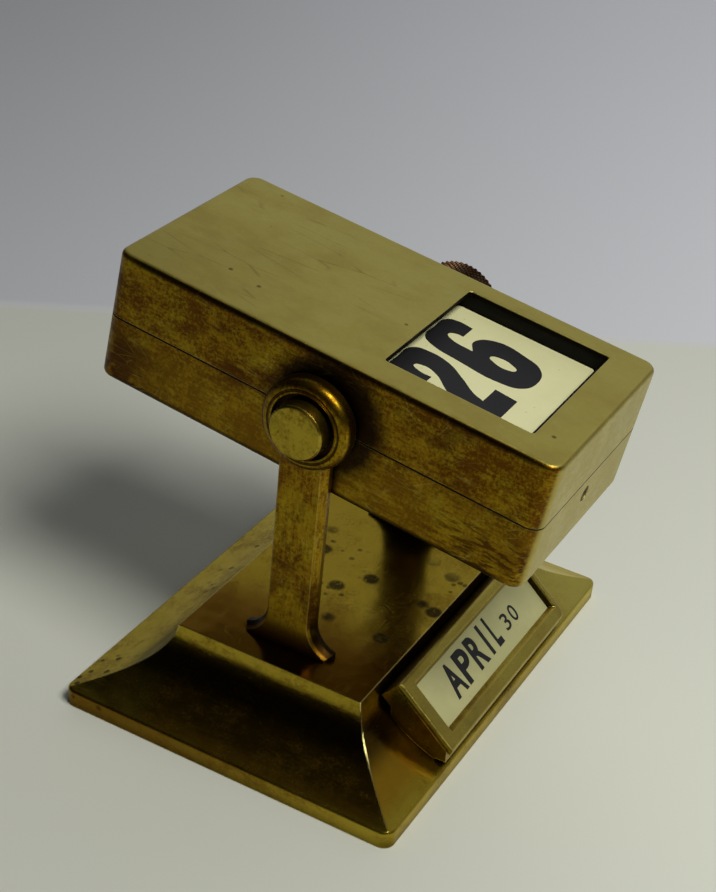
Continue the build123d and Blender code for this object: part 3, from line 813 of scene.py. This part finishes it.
def joined(shapes):
    """Several vertex and face lists as one."""
    vertices = []
    faces = []
    for some_vertices, some_faces in shapes:
        start = len(vertices)
        vertices += some_vertices
        faces += [[start + index for index in face] for face in some_faces]
    return vertices, faces


# Each printed day, its card's body, the height of the card's face above the case's middle, and
# whether it is read when the case is turned over
DAYS_SHOWN = [("26", "top_card", 10.16, False), ("28", "front_stack", 7.58, False),
              ("27", "back_stack", 13.03, True)]


def day_number(number, body, height, turned, ink):
    """A day's number printed on its card."""
    lift = Matrix.Translation((0, 0, height))
    change = IN_CASE @ (TURNED_OVER if turned else LEVEL) @ lift
    shapes = [curve_mesh(outline_curve(DIGITS[digit]), change) for digit in number]
    vertices, faces = joined(shapes)
    new_object(f"day_{number}_printing", vertices, faces, ink, body)


# Width of each character on the month cards, and the space after it
CHARACTERS = {
    "A": (5.0, 0.6), "C": (4.4, 1.0), "E": (3.2, 1.0), "G": (4.8, 1.0), "H": (4.6, 1.2),
    "I": (1.1, 2.1), "J": (2.8, 1.2), "L": (2.5, 1.4), "M": (6.6, 1.2), "N": (4.7, 1.2),
    "P": (4.7, 0.8), "R": (4.7, 1.4), "S": (3.9, 0.9), "T": (4.4, 0.8), "U": (4.5, 1.2),
    "Y": (4.8, 0.8), "0": (2.5, 1.2), "1": (1.0, 1.2), "3": (2.6, 1.2),
}
MONTHS = ["APRIL 30", "MAY 31", "JUNE 30", "JULY 31", "AUGUST 31", "MARCH 31"]
MONTH_LEFT = -14.3
MONTH_MIDDLE = 1.6
MONTH_LOW = 5.15
MONTH_CAPITAL = 7.3
WORD_GAP = 1.3
DAYS_LOW = 5.9
DAYS_HEIGHT = 3.7
MONTH_RISE = 0.028
MONTH_CARD_FACE = -1.35
MONTH_CARD_PITCH = 0.47
BOLD = 0.34
LIGHT = 0.10


def fitted_letter(letter, left, width, low, height, bold, depth):
    """One letter stretched to a box on the month card, its line rising a little to the right."""
    vertices, faces = curve_mesh(flat_letter(letter, bold))
    low_x = min(v.x for v in vertices)
    high_x = max(v.x for v in vertices)
    low_y = min(v.y for v in vertices)
    high_y = max(v.y for v in vertices)
    placed = []
    for v in vertices:
        x = left + width * (v.x - low_x) / (high_x - low_x)
        y = low + height * (v.y - low_y) / (high_y - low_y) + MONTH_RISE * x
        placed.append(ON_SLOPE @ Vector((x, y, depth + v.z)))
    return placed, faces


def word_width(word):
    return sum(sum(CHARACTERS[letter]) for letter in word)


def month_word(word, x, low, height, bold, depth):
    """The letters of one word from x on, and where the next letter would start."""
    shapes = []
    for letter in word:
        width, space = CHARACTERS[letter]
        shapes.append(fitted_letter(letter, x, width, low, height, bold, depth))
        x += width + space
    return shapes, x


def month_line(card, text, ink):
    """The month's name and its number of days, on one of the month cards."""
    name, days = text.split()
    depth = MONTH_CARD_FACE - (card - 1) * MONTH_CARD_PITCH
    whole = word_width(name) + WORD_GAP + word_width(days)
    left = min(MONTH_LEFT, MONTH_MIDDLE - whole / 2)
    name_letters, end = month_word(name, left, MONTH_LOW, MONTH_CAPITAL, BOLD, depth)
    day_letters, _ = month_word(days, end + WORD_GAP, DAYS_LOW, DAYS_HEIGHT, LIGHT, depth)
    vertices, faces = joined(name_letters + day_letters)
    new_object(f"month_{card}_printing", vertices, faces, ink, f"month_card_{card}_body")


def printing(ink):
    for number, body, height, turned in DAYS_SHOWN:
        day_number(number, body, height, turned, ink)
    for card, text in enumerate(MONTHS, 1):
        month_line(card, text, ink)


# Stage -----------------------------------------------------------------------------------------

FLOOR_HALF = 3000.0
# The floor's painted shade runs along this direction, between the near and far distances.
SHADE_TOWARD = (-0.6, 0.8)
NEAR_SHADE = (-130.0, 60.0)
FAR_SHADE = (-350.0, 150.0)
BACKDROP_POINT = (87.0, 148.0)
BACKDROP_NORMAL = (0.85, 0.527)
BACKDROP_BLUR = 4.0
BACKDROP_GLOW = 0.16


def distance_toward(s, direction, start=(0.0, 0.0)):
    """How far a place on the floor lies from the start in that direction."""
    x = s.both(s.math("SUBTRACT", s.axis("X"), start[0]), direction[0])
    y = s.both(s.math("SUBTRACT", s.axis("Y"), start[1]), direction[1])
    return s.math("ADD", x, y)


def floor_material():
    """Pale table top with painted shade toward the left, that turns to a greyer tone beyond a soft line
    behind the object, with a painted glow there that fades to the left.
    """
    s = Surface("floor", FLOOR, 0.55, metallic=0.0)
    # Painted shade: the floor darkens toward the left.
    toward_left = distance_toward(s, SHADE_TOWARD)
    s.paint(s.step(toward_left, *NEAR_SHADE), FLOOR_SHADE)
    past_line = distance_toward(s, BACKDROP_NORMAL, BACKDROP_POINT)
    beyond = s.step(past_line, -BACKDROP_BLUR, BACKDROP_BLUR)
    s.paint(beyond, BACKDROP)
    # Painted shade on the backdrop toward the left.
    shade = s.step(toward_left, *FAR_SHADE)
    s.paint(s.both(beyond, shade), BACKDROP_SHADE)
    # Painted light: the backdrop part of the floor glows, less where it is shaded.
    s.shader.inputs["Emission Color"].default_value = (*BACKDROP, 1.0)
    glow = s.both(s.both(beyond, s.opposite(shade)), BACKDROP_GLOW)
    s.put(glow, s.shader.inputs["Emission Strength"])
    s.dull(s.noise(even(0.02)), 0.1)
    s.relief(s.noise(even(0.5)), 0.02)
    return s.done()


def floor():
    corners = [(-FLOOR_HALF, -FLOOR_HALF), (FLOOR_HALF, -FLOOR_HALF), (FLOOR_HALF, FLOOR_HALF),
               (-FLOOR_HALF, FLOOR_HALF)]
    mesh = bpy.data.meshes.new("floor")
    mesh.from_pydata([(x * MM, y * MM, 0) for x, y in corners], [], [(0, 1, 2, 3)])
    mesh.materials.append(floor_material())
    sheet = bpy.data.objects.new("floor", mesh)
    bpy.context.scene.collection.objects.link(sheet)


KEY_TOWARD = (-0.16, -0.49, 0.86)
KEY_DISTANCE = 0.75
KEY_SIZE = 0.30
KEY_POWER = 4.1
KEY_COLOUR = (1.0, 0.99, 0.93)
OBJECT_MIDDLE = Vector((0, 0, 0.05))


def key_light():
    """A square soft light aimed at the middle of the object."""
    light = bpy.data.lights.new("key", "AREA")
    light.shape = "SQUARE"
    light.size = KEY_SIZE
    light.energy = KEY_POWER
    light.color = KEY_COLOUR
    lamp = bpy.data.objects.new("key", light)
    toward = Vector(KEY_TOWARD).normalized()
    lamp.location = OBJECT_MIDDLE + toward * KEY_DISTANCE
    lamp.rotation_mode = "QUATERNION"
    lamp.rotation_quaternion = toward.to_track_quat("Z", "Y")
    bpy.context.scene.collection.objects.link(lamp)


WORLD_DIM = 0.010
WORLD_GLOW = 0.45
WORLD_SEEN = 0.30
WORLD_COLOUR = (0.95, 0.97, 1.0)
GLOW_TOWARD = (0.90, 0.15, 0.20)
GLOW_EDGE = 0.25
GLOW_FULL = 0.95


def world():
    """A dim room with one pale wall far off, to the right; past the floor's edge it looks grey."""
    sky = bpy.data.worlds.new("room")
    sky.use_nodes = True
    tree = sky.node_tree
    background = tree.nodes["Background"]
    background.inputs["Color"].default_value = (*WORLD_COLOUR, 1.0)
    coords = tree.nodes.new("ShaderNodeTexCoord")
    dot = tree.nodes.new("ShaderNodeVectorMath")
    dot.operation = "DOT_PRODUCT"
    dot.inputs[1].default_value = Vector(GLOW_TOWARD).normalized()
    tree.links.new(coords.outputs["Generated"], dot.inputs[0])
    glow = tree.nodes.new("ShaderNodeMapRange")
    glow.interpolation_type = "SMOOTHSTEP"
    glow.inputs["From Min"].default_value = GLOW_EDGE
    glow.inputs["From Max"].default_value = GLOW_FULL
    glow.inputs["To Min"].default_value = WORLD_DIM
    glow.inputs["To Max"].default_value = WORLD_GLOW
    tree.links.new(dot.outputs["Value"], glow.inputs["Value"])
    seen = tree.nodes.new("ShaderNodeMath")
    seen.operation = "MULTIPLY"
    seen.inputs[1].default_value = WORLD_SEEN
    tree.links.new(tree.nodes.new("ShaderNodeLightPath").outputs["Is Camera Ray"], seen.inputs[0])
    brighter = tree.nodes.new("ShaderNodeMath")
    brighter.operation = "MAXIMUM"
    tree.links.new(glow.outputs["Result"], brighter.inputs[0])
    tree.links.new(seen.outputs[0], brighter.inputs[1])
    tree.links.new(brighter.outputs[0], background.inputs["Strength"])
    bpy.context.scene.world = sky


CAMERA_PLACE = Vector((-0.27972, -0.13443, 0.23886))
CAMERA_AZIMUTH = math.radians(-63.977)
CAMERA_ELEVATION = math.radians(31.216)
CAMERA_ROLL = math.radians(6.020)
CAMERA_LENS = 71.645
CAMERA_SENSOR = 36.0
CAMERA_NEAR = 0.01


def camera():
    """The camera; azimuth 0 looks along +Y."""
    data = bpy.data.cameras.new("camera")
    data.lens = CAMERA_LENS
    data.sensor_width = CAMERA_SENSOR
    data.clip_start = CAMERA_NEAR
    eye = bpy.data.objects.new("camera", data)
    a = CAMERA_AZIMUTH
    e = CAMERA_ELEVATION
    back = Vector((math.sin(a) * math.cos(e), -math.cos(a) * math.cos(e), math.sin(e)))
    level_right = Vector((math.cos(a), math.sin(a), 0))
    level_up = back.cross(level_right)
    right = level_right * math.cos(CAMERA_ROLL) + level_up * math.sin(CAMERA_ROLL)
    up = back.cross(right)
    turn = Matrix((right, up, back)).transposed().to_4x4()
    eye.matrix_world = Matrix.Translation(CAMERA_PLACE) @ turn
    bpy.context.scene.collection.objects.link(eye)
    bpy.context.scene.camera = eye


def stage():
    floor()
    world()
    key_light()
    camera()
    bpy.context.scene.view_settings.view_transform = "Standard"


ink_material, bronze_material = dress_all()
knurled_knob(bronze_material)
printing(ink_material)
stage()
